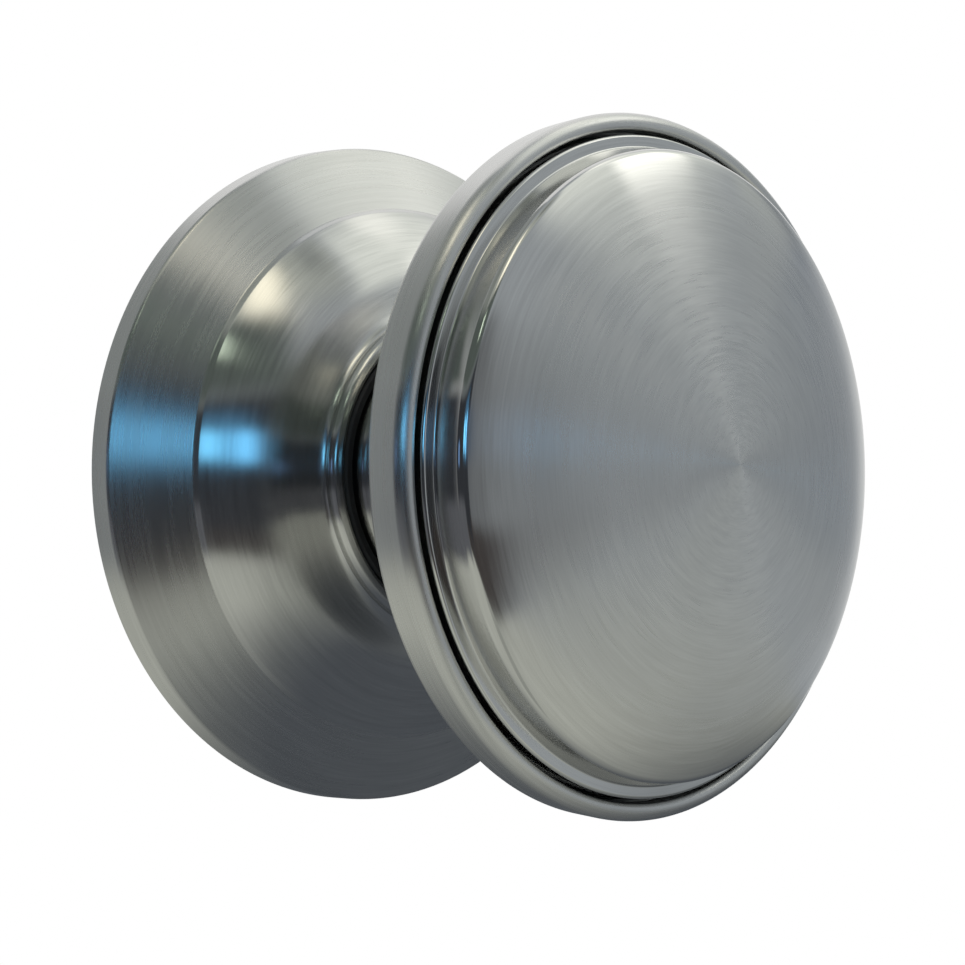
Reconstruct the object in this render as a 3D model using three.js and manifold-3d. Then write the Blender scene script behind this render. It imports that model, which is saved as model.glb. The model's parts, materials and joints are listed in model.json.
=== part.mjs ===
// Turning door knob on a sprung, concealed-fix rose: one side of a door set.
// Millimetres. The parts are drawn with +Z out from the door along the knob's axis and
// +Y up; the last group turns them so that the knob faces -Y and +Z is up.
// The origin is on the knob's axis, in the plane of the door's face.

import * as THREE from 'three';
import { mergeVertices } from 'three/addons/utils/BufferGeometryUtils.js';
import Module from 'manifold-3d';

const wasm = await Module();
wasm.setup();

// ---- Driving dimensions ----------------------------------------------------------

const GAP = 0.3; // left between pieces that touch
const SHEET = 1.0; // thickness of the pressed stainless sheet

const HEAD_RADIUS = 30; // 60 mm knob
const HEAD_BACK = 35.2; // where the rim band starts, measured from the door
const BAND_FRONT = 38.3; // front of the rim band
const LIP_ROUND = 0.75; // of the rim's rolled front edge
const GROOVE_WIDTH = 0.45; // the dark line between the rim and the face cap
const CAP_RADIUS = 28.05; // outside of the face cap's flange
const DOME_RADIUS = 75; // sphere of the face
const DOME_EDGE = 26; // where the sphere meets its rounded shoulder
const DOME_TOP = 45.9; // highest point of the face, from the door
const DOME_CENTRE = DOME_TOP - DOME_RADIUS;
const CAP_LAND = { inner: 26.95, height: 38.62 }; // flat ring round the dome's foot
const DOME_WALL = 1.2;

const ROSE_RADIUS = 33.5; // 67 mm rose
const ROSE_CREASE_RADIUS = 26.7;
const ROSE_SLOPE = 26.3; // degrees, of the rose's outer band
const SWELL_TOP = { radius: 20.3, height: 9.85 }; // where the rose's swell turns hollow
const NECK_BEAD = { radius: 15.2, height: 11.65, wire: 0.75 };

const SHANK_RADIUS = 13; // knob shank inside the neck bush
const COLLAR_RADIUS = 13.9; // raised collar just in front of the rose
const SHANK_END = 10.5; // inner end of the shank, from the door
const CORE_RADIUS = 9.6;
const CORE_FLANGE = { radius: 14, from: 33.9, to: 34.9 };
const NUT = { radius: 12.7, from: 19.6, to: 22.6 };
const DISC = { radius: 27.5, from: 35.2, to: 36.1 }; // behind the face
const CAP_SCREW = { radius: 1.7, end: 29, head: 3.6, seat: 36.4 };
const GRUB = { radius: 2.5, height: 16.6 }; // set screw under the shank

const PLATE_RADIUS = 31.7;
const PLATE_THICKNESS = 2.5;
const PLATE_STEP = { width: 1.9, height: 0.5 }; // round its front edge, for the snap ring
const BOLT_CENTRES = 38; // the usual distance between through bolts
const BOLT_RADIUS = 2; // M4
const BOLT_REACH = 28; // length of bolt inside the door
const BOLT_HEAD_RADIUS = 4;
const LUG = { radius: 3.7, length: 8 };
const HUB_HOLE = 8.5;
const RECESS = { radius: 9.9, depth: 0.5 }; // in the plate's back, for the thrust washer

const SPINDLE_SIDE = 8; // the usual square spindle
const SPINDLE_REACH = 34; // length of spindle inside the door
const HUB_RADIUS = 7;
const HUB_FLAT = 6; // the hub's two flats, from the axis
const HUB_COLLAR = { radius: 8.8, from: 3.6, to: 7.6 };
const HUB_TAIL = -3.7;
const HUB_TOP = 24.2;
const CLIP = { inner: 6.6, outer: 9.2, back: -2.4, front: -1.7 }; // circlip behind the plate

const SPRING = { radius: 10.9, wire: 0.6, from: 4.2, to: 7, legReach: 16.4, legAngle: 13 };
const CAGE = { radius: 14.8, wall: 1, from: 2.8, foot: 0.6, capFrom: 8.9, capTo: 9.5, width: 4.4 };
const FOOT_ANGLES = [60, 180, 300]; // degrees; the turn stops lie at 60 and 300
const RIVET = { circle: 17.2, radius: 1, hole: 1.3, head: 1.9 };
const WASHER = 0.5; // thickness of the thrust washer and of the brass bush's flange

const FINE = 40; // facets round the large turned parts
const SMALL = 24; // facets round the small turned parts

// ---- Helpers ---------------------------------------------------------------------

const radians = THREE.MathUtils.degToRad;

function at(r, z) {
  return new THREE.Vector2(r, z);
}

function arc(r, z, radius, fromDegrees, toDegrees, steps) {
  const from = radians(fromDegrees);
  const to = radians(toDegrees);
  return new THREE.EllipseCurve(r, z, radius, radius, from, to, to < from).getPoints(steps);
}

function bend(start, leaving, arriving, end, steps) {
  return new THREE.CubicBezierCurve(start, leaving, arriving, end).getPoints(steps);
}

// A closed geometry of any kind as a manifold solid with its faces pointing out.
function solidFrom(geometry) {
  const bare = new THREE.BufferGeometry();
  bare.setAttribute('position', geometry.getAttribute('position'));
  bare.setIndex(geometry.index);
  const welded = mergeVertices(bare, 1e-4);
  const positions = welded.getAttribute('position');
  const corners = welded.index.array;
  const a = new THREE.Vector3();
  const b = new THREE.Vector3();
  const c = new THREE.Vector3();
  const triangles = [];
  let volume = 0;
  for (let i = 0; i < corners.length; i += 3) {
    const [p, q, r] = corners.slice(i, i + 3);
    if (p === q || q === r || r === p) {
      continue;
    }
    triangles.push([p, q, r]);
    a.fromBufferAttribute(positions, p);
    b.fromBufferAttribute(positions, q);
    c.fromBufferAttribute(positions, r);
    volume += a.dot(b.cross(c));
  }
  const outward = volume > 0 ? triangles : triangles.map((t) => t.reverse());
  return new wasm.Manifold(new wasm.Mesh({
    numProp: 3,
    vertProperties: new Float32Array(positions.array),
    triVerts: new Uint32Array(outward.flat()),
  }));
}

// Turns an outline of (radius, height) points about the axis. An outline that doesn't
// start and end on the axis is closed on itself.
function turned(outline, facets = FINE) {
  const points = outline[0].x === 0 ? outline : [...outline, outline[0].clone()];
  return solidFrom(new THREE.LatheGeometry(points, facets).rotateX(Math.PI / 2));
}

function ring(inner, outer, from, to, facets = SMALL) {
  return turned([at(inner, from), at(outer, from), at(outer, to), at(inner, to)], facets);
}

function rod(radius, from, to, facets = SMALL) {
  return turned([at(0, from), at(radius, from), at(radius, to), at(0, to)], facets);
}

// Extrudes a flat outline between two heights.
function extruded(shape, from, to, curveSegments = 12) {
  const options = { depth: to - from, bevelEnabled: false, curveSegments };
  return solidFrom(new THREE.ExtrudeGeometry(shape, options).translate(0, 0, from));
}

function block(width, depth, from, to, x = 0, y = 0) {
  const box = new THREE.BoxGeometry(width, depth, to - from);
  return solidFrom(box.translate(x, y, (from + to) / 2));
}

function spun(solid, degrees) {
  return solid.rotate([0, 0, degrees]);
}

function moved(solid, x, y, z = 0) {
  return solid.translate([x, y, z]);
}

// Polar position on the plate.
function polar(radius, degrees) {
  return [radius * Math.cos(radians(degrees)), radius * Math.sin(radians(degrees))];
}

function chamferedSquare(side, chamfer) {
  const half = side / 2;
  const inner = half - chamfer;
  return new THREE.Shape([
    at(-inner, -half), at(inner, -half), at(half, -inner), at(half, inner),
    at(inner, half), at(-inner, half), at(-half, inner), at(-half, -inner),
  ]);
}

// A round bar with two flats, the section that carries the turn.
function flattedBar(radius, flat, from, to) {
  return rod(radius, from, to).intersect(block(4 * radius, 2 * flat, from - 1, to + 1));
}

// ---- Finishes --------------------------------------------------------------------

const FINISHES = {
  satin: { color: 0xa3a5a4, roughness: 0.3, metalness: 1 },
  zinc: { color: 0x9aa0a6, roughness: 0.42, metalness: 1 },
  steel: { color: 0x7d8086, roughness: 0.35, metalness: 1 },
  spring: { color: 0x55575c, roughness: 0.3, metalness: 1 },
  brass: { color: 0xb5934f, roughness: 0.35, metalness: 1 },
  blackNylon: { color: 0x1c1c1e, roughness: 0.55, metalness: 0 },
  paleNylon: { color: 0xd8d4c8, roughness: 0.6, metalness: 0 },
};

const assembly = new THREE.Group();
assembly.rotation.x = Math.PI / 2;

function add(name, solid, finish) {
  const { vertProperties, triVerts } = solid.getMesh();
  const geometry = new THREE.BufferGeometry();
  geometry.setAttribute('position', new THREE.BufferAttribute(vertProperties, 3));
  geometry.setIndex(new THREE.BufferAttribute(triVerts, 1));
  geometry.computeVertexNormals();
  const mesh = new THREE.Mesh(geometry, new THREE.MeshStandardMaterial(FINISHES[finish]));
  mesh.name = name;
  assembly.add(mesh);
}

// ---- Rose ------------------------------------------------------------------------

// Pressed cover: upright edge, sloping band, a fine step, then a swell that turns hollow
// below the rolled bead round the neck.
function roseCover() {
  const edge = { radius: ROSE_RADIUS - 0.2, height: 2.15, round: 0.5 };
  const bandNormal = 90 - ROSE_SLOPE;
  const bandStart = arc(edge.radius - edge.round, edge.height, edge.round, 0, bandNormal, 3);
  const bandFoot = bandStart.at(-1);
  const rise = Math.tan(radians(ROSE_SLOPE));
  const creaseHeight = bandFoot.y + (bandFoot.x - ROSE_CREASE_RADIUS) * rise;
  const swellFoot = at(ROSE_CREASE_RADIUS - 0.35, creaseHeight + 0.45);
  const swellTop = at(SWELL_TOP.radius, SWELL_TOP.height);
  const insideFoot = at(25.7, 5.3);
  const insideTop = at(SWELL_TOP.radius - 0.4, SWELL_TOP.height - 0.95);
  const { radius, height, wire } = NECK_BEAD;
  const neck = radius - wire;
  return turned([
    at(ROSE_RADIUS, 0),
    ...bandStart,
    at(ROSE_CREASE_RADIUS, creaseHeight),
    ...bend(swellFoot, at(24.3, 7.85), at(22.1, 9.1), swellTop, 3),
    ...bend(swellTop, at(18.7, 10.52), at(16.6, 10.55), at(16.05, 11.3), 4).slice(1),
    ...arc(radius, height, wire, -20, 180, 6),
    at(neck, 10.9),
    at(15.4, 10.6),
    ...bend(at(15.45, 9.7), at(17, 9.45), at(18.6, 9.5), insideTop, 2),
    ...bend(insideTop, at(21.65, 8.15), at(23.7, 6.95), insideFoot, 2).slice(1),
    at(26.2, 4.85),
    at(ROSE_RADIUS - 1.3, 1.85),
    at(ROSE_RADIUS - 1.1, 1.6),
    at(ROSE_RADIUS - 1.1, 0),
  ]);
}

// Flat steel plate that the bolts pull against the door. Its front edge is stepped for
// the snap ring, and two hollow lugs behind it stop it turning in the door.
function fixingPlate() {
  const stepRadius = PLATE_RADIUS - PLATE_STEP.width;
  let plate = turned([
    at(HUB_HOLE, RECESS.depth),
    at(RECESS.radius, RECESS.depth),
    at(RECESS.radius, 0),
    at(PLATE_RADIUS, 0),
    at(PLATE_RADIUS, PLATE_STEP.height),
    at(stepRadius, PLATE_STEP.height),
    at(stepRadius, PLATE_THICKNESS),
    at(HUB_HOLE, PLATE_THICKNESS),
  ]);
  for (const side of [-1, 1]) {
    const centre = side * BOLT_CENTRES / 2;
    plate = plate.add(moved(rod(LUG.radius, -LUG.length, PLATE_THICKNESS / 2), 0, centre));
    const hole = rod(BOLT_RADIUS + 0.4, -LUG.length - 1, PLATE_THICKNESS + 1);
    plate = plate.subtract(moved(hole, 0, centre));
  }
  for (const angle of FOOT_ANGLES) {
    const hole = rod(RIVET.hole, -1, PLATE_THICKNESS + 1, 12);
    plate = plate.subtract(moved(hole, ...polar(RIVET.circle, angle)));
  }
  return plate;
}

// Split wire ring in the plate's step; the cover snaps over it.
function snapRing() {
  const wire = 0.65;
  const centre = PLATE_RADIUS - PLATE_STEP.width + GAP + wire;
  const height = PLATE_STEP.height + GAP + wire;
  const split = block(5, 6, 0, 3, 0, -centre);
  return turned(arc(centre, height, wire, 0, 360, 6).slice(0, -1)).subtract(split);
}

// Stamped cage over the spring: a ring with three feet riveted to the plate.
function springCage() {
  const { radius, wall, from, foot, capFrom, capTo, width } = CAGE;
  const tip = RIVET.circle + 2.2;
  const heel = radius - wall;
  let cage = ring(HUB_RADIUS + 0.4, radius, capFrom, capTo, 30);
  for (const angle of FOOT_ANGLES) {
    const leg = block(wall, width, from, capTo, radius - wall / 2 - 0.1);
    const pad = block(tip - heel, width, from, from + foot, (tip + heel) / 2);
    const hole = moved(rod(RIVET.hole, from - 1, from + foot + 1, 12), RIVET.circle, 0);
    cage = cage.add(spun(leg.add(pad).subtract(hole), angle));
  }
  return cage;
}

function cageRivet(angle) {
  const headFrom = CAGE.from + CAGE.foot + GAP;
  const rivet = turned([
    at(0, 0.2),
    at(RIVET.radius, 0.2),
    at(RIVET.radius, headFrom),
    at(RIVET.head, headFrom),
    at(RIVET.head - 0.3, headFrom + 0.5),
    at(0, headFrom + 0.75),
  ], 12);
  return moved(rivet, ...polar(RIVET.circle, angle));
}

// Torsion spring round the hub. Its two legs lie either side of the cage's 180 degree
// foot and of the driver's lug.
function returnSpring() {
  const { radius, wire, from, to, legReach, legAngle } = SPRING;
  const start = 180 + legAngle;
  const sweep = 720 - 2 * legAngle;
  const turns = 40;
  const route = [];
  const place = (r, angle, z) => route.push(new THREE.Vector3(...polar(r, angle), z));
  place(legReach, start, from);
  place((legReach + radius) / 2, start, from);
  place(radius + 0.9, start, from);
  for (let i = 0; i <= turns; i += 1) {
    const share = (i + 0.6) / (turns + 1.2);
    place(radius, start + sweep * share, from + (to - from) * share);
  }
  place(radius + 0.9, start + sweep, to);
  place((legReach + radius) / 2, start + sweep, to);
  place(legReach, start + sweep, to);
  const section = new THREE.Shape();
  section.absarc(0, 0, wire, 0, 2 * Math.PI);
  const path = new THREE.CatmullRomCurve3(route, false, 'centripetal');
  return solidFrom(new THREE.ExtrudeGeometry(section, {
    extrudePath: path,
    steps: 72,
    curveSegments: 3,
    bevelEnabled: false,
  }));
}

// Nylon bush that guides the shank in the rose's neck.
function neckBush() {
  const bore = SHANK_RADIUS + GAP;
  const outside = NECK_BEAD.radius - NECK_BEAD.wire - GAP + 0.05;
  const flange = outside + 0.75;
  const back = 9.8;
  const seat = 10.25;
  const front = 11.8;
  return turned([
    at(bore, back),
    at(flange, back),
    at(flange, seat),
    at(outside, seat),
    at(outside, front - 0.2),
    at(outside - 0.3, front),
    at(bore, front),
  ], 32);
}

// Flanged brass bush for the hub in the fixing plate.
function plateBush() {
  const back = RECESS.depth + 0.1;
  const seat = PLATE_THICKNESS + GAP;
  const flange = 10.3;
  return turned([
    at(HUB_RADIUS + GAP, back),
    at(HUB_HOLE - GAP, back),
    at(HUB_HOLE - GAP, seat),
    at(flange, seat),
    at(flange, seat + WASHER),
    at(HUB_RADIUS + GAP, seat + WASHER),
  ], SMALL);
}

// Pan-head machine screw through the plate and the door, with a cross recess.
function throughBolt(side) {
  const seat = PLATE_THICKNESS + GAP;
  const bolt = turned([
    at(0, -BOLT_REACH),
    at(BOLT_RADIUS - 0.6, -BOLT_REACH),
    at(BOLT_RADIUS, -BOLT_REACH + 0.8),
    at(BOLT_RADIUS, seat),
    at(BOLT_HEAD_RADIUS, seat),
    at(BOLT_HEAD_RADIUS, seat + 1.3),
    at(BOLT_HEAD_RADIUS - 0.8, seat + 2.1),
    at(0, seat + 2.4),
  ], 16);
  const slot = block(4.4, 0.9, seat + 0.9, seat + 4);
  return moved(bolt.subtract(slot.add(spun(slot, 90))), 0, side * BOLT_CENTRES / 2);
}

// ---- Knob ------------------------------------------------------------------------

// Pressed body of the knob in one skin: shank, collar, trumpet-shaped back, rim band and
// the lip that turns in at the groove.
function knobShell() {
  const collar = COLLAR_RADIUS - 0.5;
  const backRound = 0.9;
  const backFoot = at(HEAD_RADIUS - 0.5, HEAD_BACK - 0.8);
  const innerShank = SHANK_RADIUS - SHEET;
  const lip = CAP_RADIUS + GROOVE_WIDTH;
  const innerBand = HEAD_RADIUS - SHEET - 0.05;
  const shell = turned([
    at(SHANK_RADIUS, SHANK_END),
    at(SHANK_RADIUS, 12.6),
    ...arc(collar, 13.35, 0.5, -90, 0, 2),
    ...arc(collar, 13.75, 0.5, 0, 60, 2),
    ...bend(at(13.5, 14.4), at(13.6, 21.5), at(20.2, 29.7), backFoot, 7),
    ...arc(HEAD_RADIUS - backRound, HEAD_BACK, backRound, -45, 0, 2),
    ...arc(HEAD_RADIUS - LIP_ROUND, BAND_FRONT + 0.2 - LIP_ROUND, LIP_ROUND, 0, 180, 7),
    at(lip, BAND_FRONT - 1.1),
    at(innerBand, BAND_FRONT - 1.4),
    ...bend(at(innerBand, 35.4), at(19.6, 30.9), at(12.5, 22.4), at(12.35, 15.2), 5),
    at(innerShank, 14.6),
    at(innerShank, SHANK_END),
  ]);
  return shell.subtract(grubPassage());
}

// Domed face, its rounded shoulder and the stepped flange that sits inside the rim.
function faceCap() {
  const lean = THREE.MathUtils.radToDeg(Math.asin(DOME_EDGE / DOME_RADIUS));
  const round = 0.8;
  const shoulder = arc(0, DOME_CENTRE, DOME_RADIUS - round, 90, 90 - lean, 1).at(-1);
  const flangeBack = 36.7;
  const corner = 0.28;
  const insideLean = 19.5;
  return turned([
    at(0, DOME_TOP),
    ...arc(0, DOME_CENTRE, DOME_RADIUS, 90, 90 - lean, 5).slice(1),
    ...arc(shoulder.x, shoulder.y, round, 90 - lean, 0, 3).slice(1),
    at(CAP_LAND.inner, CAP_LAND.height),
    ...arc(CAP_RADIUS - corner, CAP_LAND.height - corner, corner, 90, 0, 2),
    at(CAP_RADIUS, flangeBack),
    at(CAP_RADIUS - SHEET, flangeBack),
    at(CAP_RADIUS - SHEET, 37.8),
    at(25.7, 38.75),
    ...arc(0, DOME_CENTRE, DOME_RADIUS - DOME_WALL, 90 - insideLean, 90, 3).slice(0, -1),
    at(0, DOME_TOP - DOME_WALL),
  ]);
}

// The hole under the shank that the grub screw goes in by.
function grubPassage() {
  const bore = rod(GRUB.radius + GAP, HUB_FLAT, COLLAR_RADIUS + 2, 16);
  return moved(bore.rotate([90, 0, 0]), 0, 0, GRUB.height);
}

// Socket set screw through the shank's underside on to the hub's flat.
function grubScrew() {
  const from = HUB_FLAT + GAP + 0.1;
  const to = SHANK_RADIUS + 0.1;
  const hexagon = new THREE.Shape(arc(0, 0, 1.45, 0, 360, 6).slice(0, -1));
  const screw = turned([
    at(0, from),
    at(GRUB.radius - 0.8, from),
    at(GRUB.radius, from + 0.8),
    at(GRUB.radius, to - 0.3),
    at(GRUB.radius - 0.3, to),
    at(0, to),
  ], 16);
  const socket = extruded(hexagon, to - 2.2, to + 1);
  return moved(screw.subtract(socket).rotate([90, 0, 0]), 0, 0, GRUB.height);
}

// Turned steel core that carries the skin and fits over the hub.
function shankCore() {
  const wide = SHANK_RADIUS - SHEET - GAP;
  const shoulder = 18.2;
  const body = turned([
    at(0, SHANK_END + GAP),
    at(wide, SHANK_END + GAP),
    at(wide, shoulder),
    at(CORE_RADIUS, shoulder),
    at(CORE_RADIUS, CORE_FLANGE.from),
    at(CORE_FLANGE.radius, CORE_FLANGE.from),
    at(CORE_FLANGE.radius, CORE_FLANGE.to),
    at(0, CORE_FLANGE.to),
  ], 32);
  const socket = flattedBar(HUB_RADIUS + GAP, HUB_FLAT + GAP, SHANK_END - 1, HUB_TOP + GAP);
  const tapping = rod(CAP_SCREW.radius + GAP, CAP_SCREW.end - 0.5, CORE_FLANGE.to + 1, 16);
  return body.subtract(socket).subtract(tapping).subtract(grubPassage());
}

// Hexagon ring nut that holds the skin's back on the core.
function lockNut() {
  const hexagon = new THREE.Shape(arc(0, 0, NUT.radius, 0, 360, 6).slice(0, -1));
  const bore = rod(CORE_RADIUS + GAP, NUT.from - 1, NUT.to + 1);
  return extruded(hexagon, NUT.from, NUT.to).subtract(bore);
}

// Steel disc behind the face, screwed to the core, with three lightening holes.
function backingDisc() {
  const holeCircle = 17;
  let disc = ring(CAP_SCREW.radius + GAP, DISC.radius, DISC.from, DISC.to, 32);
  for (const angle of [90, 210, 330]) {
    const hole = rod(4, DISC.from - 1, DISC.to + 1, 16);
    disc = disc.subtract(moved(hole, ...polar(holeCircle, angle)));
  }
  return disc;
}

// Moulded nylon ring that keeps the thin face from denting.
function domeSupport() {
  const foot = DISC.to + GAP;
  const crown = DOME_RADIUS - DOME_WALL - GAP - 0.15;
  const inner = { radius: 4.2, wall: 2, under: 42.2, lean: 3.3 };
  const outer = { radius: 20, wall: 2, under: 39.9, lean: 15.8 };
  return turned([
    at(inner.radius, foot),
    at(inner.radius + inner.wall, foot),
    at(inner.radius + inner.wall, inner.under),
    at(outer.radius - outer.wall, outer.under),
    at(outer.radius - outer.wall, foot),
    at(outer.radius, foot),
    ...arc(0, DOME_CENTRE, crown, 90 - outer.lean, 90 - inner.lean, 3),
  ], 28);
}

function capScrew() {
  const top = CAP_SCREW.seat + 2.1;
  const screw = turned([
    at(0, CAP_SCREW.end),
    at(CAP_SCREW.radius, CAP_SCREW.end),
    at(CAP_SCREW.radius, CAP_SCREW.seat),
    at(CAP_SCREW.head, CAP_SCREW.seat),
    at(CAP_SCREW.head, CAP_SCREW.seat + 1.2),
    at(CAP_SCREW.head - 0.7, top - 0.2),
    at(0, top),
  ], 16);
  const slot = block(3.8, 0.9, top - 1.2, top + 1);
  return screw.subtract(slot.add(spun(slot, 90)));
}

// Drive hub: square inside for the spindle, round in its bush, flatted in the knob.
function driveHub() {
  const { radius, from, to } = HUB_COLLAR;
  const body = turned([
    at(0, HUB_TAIL),
    at(HUB_RADIUS - 0.4, HUB_TAIL),
    at(HUB_RADIUS, HUB_TAIL + 0.4),
    at(HUB_RADIUS, CLIP.back - GAP),
    at(CLIP.inner - GAP, CLIP.back - GAP),
    at(CLIP.inner - GAP, CLIP.front + GAP),
    at(HUB_RADIUS, CLIP.front + GAP),
    at(HUB_RADIUS, from),
    at(radius, from),
    at(radius, to),
    at(HUB_RADIUS, to),
    at(HUB_RADIUS, HUB_TOP),
    at(0, HUB_TOP),
  ], SMALL);
  const bore = block(SPINDLE_SIDE + 2 * GAP, SPINDLE_SIDE + 2 * GAP, HUB_TAIL - 1, HUB_TOP + 1);
  const beside = block(4 * radius, 4, to, HUB_TOP + 1, 0, HUB_FLAT + 2);
  return body.subtract(bore).subtract(beside).subtract(spun(beside, 180));
}

// Keyed washer on the hub. Its lug pushes one spring leg or the other, and its ear
// meets the cage's feet at the end of the turn.
function springDriver() {
  const from = HUB_COLLAR.to + GAP;
  const to = from + 0.7;
  const lugInner = 12;
  const lugOuter = 13.3;
  const lugWidth = 3.6;
  const disc = rod(9.7, from, to, 36);
  const arm = block(lugOuter, lugWidth, from, to, -lugOuter / 2);
  const lugBack = SPRING.from - 0.3;
  const lug = block(lugOuter - lugInner, lugWidth, lugBack, to, -(lugInner + lugOuter) / 2);
  const ear = block(CAGE.radius, 2.5, from, to, CAGE.radius / 2);
  const hole = flattedBar(HUB_RADIUS + GAP, HUB_FLAT + GAP, from - 1, to + 1);
  return disc.add(arm).add(lug).add(ear).subtract(hole);
}

function thrustWasher() {
  const front = RECESS.depth - GAP;
  return ring(HUB_RADIUS + GAP, RECESS.radius - GAP, front - WASHER, front);
}

// Three-wave spring washer that takes up end play behind the plate.
function waveWasher() {
  const waves = 3;
  const rise = 0.2;
  const inner = HUB_RADIUS + 0.4;
  const outer = 9.4;
  const front = -0.8;
  const back = front - 0.3;
  const outline = [at(inner, back), at(outer, back), at(outer, front), at(inner, front), at(inner, back)];
  const band = new THREE.LatheGeometry(outline, 30).rotateX(Math.PI / 2);
  const positions = band.getAttribute('position');
  for (let i = 0; i < positions.count; i += 1) {
    const angle = Math.atan2(positions.getY(i), positions.getX(i));
    positions.setZ(i, positions.getZ(i) + rise * Math.cos(waves * angle));
  }
  return solidFrom(band);
}

// Open retaining ring in the hub's groove.
function circlip() {
  const open = 22;
  const shape = new THREE.Shape();
  shape.absarc(0, 0, CLIP.outer, radians(open), radians(360 - open), false);
  shape.absarc(0, 0, CLIP.inner, radians(360 - open), radians(open), true);
  return spun(extruded(shape, CLIP.back, CLIP.front, 14), 90);
}

function spindle() {
  return extruded(chamferedSquare(SPINDLE_SIDE, 0.5), -SPINDLE_REACH, HUB_TOP - 0.7);
}

// ---- Assembly --------------------------------------------------------------------

add('fixing_plate', fixingPlate(), 'zinc');
add('rose_cover', roseCover(), 'satin');
add('cover_snap_ring', snapRing(), 'spring');
add('neck_bush', neckBush(), 'blackNylon');
add('plate_bush', plateBush(), 'brass');
add('spring_cage', springCage(), 'zinc');
FOOT_ANGLES.forEach((angle, i) => add(`cage_rivet_${i + 1}`, cageRivet(angle), 'steel'));
add('return_spring', returnSpring(), 'spring');
add('through_bolt_upper', throughBolt(1), 'zinc');
add('through_bolt_lower', throughBolt(-1), 'zinc');
add('thrust_washer', thrustWasher(), 'brass');

add('knob_shell', knobShell(), 'satin');
add('face_cap', faceCap(), 'satin');
add('shank_core', shankCore(), 'zinc');
add('lock_nut', lockNut(), 'steel');
add('backing_disc', backingDisc(), 'zinc');
add('dome_support', domeSupport(), 'paleNylon');
add('cap_screw', capScrew(), 'zinc');
add('grub_screw', grubScrew(), 'steel');
add('drive_hub', driveHub(), 'zinc');
add('spring_driver', springDriver(), 'steel');
add('wave_washer', waveWasher(), 'spring');
add('hub_circlip', circlip(), 'spring');
add('spindle', spindle(), 'steel');

export default assembly;
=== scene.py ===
import json
import math

import bpy
from mathutils import Matrix, Vector


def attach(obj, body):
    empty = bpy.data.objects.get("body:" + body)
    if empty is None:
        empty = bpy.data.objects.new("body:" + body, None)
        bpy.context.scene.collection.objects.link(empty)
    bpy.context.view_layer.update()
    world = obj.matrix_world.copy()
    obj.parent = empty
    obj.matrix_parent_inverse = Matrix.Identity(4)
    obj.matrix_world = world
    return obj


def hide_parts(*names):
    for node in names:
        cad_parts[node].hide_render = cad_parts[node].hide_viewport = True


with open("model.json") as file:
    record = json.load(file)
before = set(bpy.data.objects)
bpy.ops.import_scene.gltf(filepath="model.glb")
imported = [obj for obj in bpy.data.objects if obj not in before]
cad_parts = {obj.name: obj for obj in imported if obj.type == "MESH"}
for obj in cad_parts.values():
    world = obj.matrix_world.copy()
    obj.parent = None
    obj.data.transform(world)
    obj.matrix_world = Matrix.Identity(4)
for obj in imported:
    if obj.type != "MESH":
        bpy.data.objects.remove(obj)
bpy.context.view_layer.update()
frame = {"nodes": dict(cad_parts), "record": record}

MM = 0.001

# ---- Sizes, in millimetres, as in the CAD model ------------------------------------
# "out" is the distance from the door's face towards the user, which is -Y.

HEAD_RADIUS = 30.0
HEAD_BACK = 35.2
BAND_FRONT = 38.3
LIP_TOP = 38.5
LIP_CREST_RADIUS = 28.98  # where the rim's rolled front edge stands highest
GROOVE_WIDTH = 0.37  # between the rim and the face, 0.08 narrower than in the CAD model
CAP_RADIUS = 28.05
CAP_BACK = 36.7
CAP_LAND = (26.95, 38.62)  # the flat ring round the dome's foot starts here
DOME_RADIUS = 75.0
DOME_EDGE = 26.0
DOME_TOP = 45.9
ROSE_RADIUS = 33.5
ROSE_CREASE_RADIUS = 26.7
SWELL_TOP = (20.3, 9.85)
ROSE_SLOPE = 26.3
BEAD_RADIUS = 15.2
BEAD_OUT = 11.65
BEAD_WIRE = 0.75
SHANK_RADIUS = 13.0
COLLAR_RADIUS = 13.9
SHANK_END = 10.5
SHEET = 1.0
GRUB_OUT = 16.6
GRUB_HOLE_RADIUS = 2.8
PLATE = {
    "radius": 31.7, "thick": 2.5, "step_radius": 29.8, "step": 0.5,
    "hole": 8.5, "recess_radius": 9.9, "recess": 0.5,
}
BOLT = {
    "off": 19.0, "radius": 2.0, "root": 1.64, "pitch": 0.7, "end": -28.0,
    "seat": 2.8, "head": 4.0, "head_height": 2.4, "hole": 2.4,
}
CROSS_RECESS = {"half_length": 2.2, "half_width": 0.45, "floor": 0.9}
LUG = {"radius": 3.7, "end": -8.0}
RIVET = {"circle": 17.2, "hole": 1.3, "angles": (60, 180, 300)}
HUB = {
    "radius": 7.0, "tail": -3.7, "top": 24.2, "collar": 8.8,
    "collar_from": 3.6, "collar_to": 7.6, "flat": 6.0, "bore": 8.6,
}
CLIP = {"inner": 6.6, "outer": 9.2, "back": -2.4, "front": -1.7, "open": 22}
WASHERS = {"thrust": (7.3, 9.6, -0.3, 0.2), "wave": (7.4, 9.4, -1.1, -0.8)}  # inner, outer, back, front

AROUND = 288  # facets round the large turned pieces
SHARP_ANGLE = 32.0  # degrees; edges that turn more than this stay crisp
SOFT_EDGE = 0.00012  # metres, the bevel on the pieces that keep their CAD mesh

# ---- Outlines ----------------------------------------------------------------------


def arc(r, out, radius, from_degrees, to_degrees, step=5.0):
    """Points on an arc about (r, out), one for about every step degrees."""
    sweep = to_degrees - from_degrees
    count = max(2, round(abs(sweep) / step))
    angles = [math.radians(from_degrees + sweep * i / count) for i in range(count + 1)]
    return [(r + radius * math.cos(a), out + radius * math.sin(a)) for a in angles]


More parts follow.
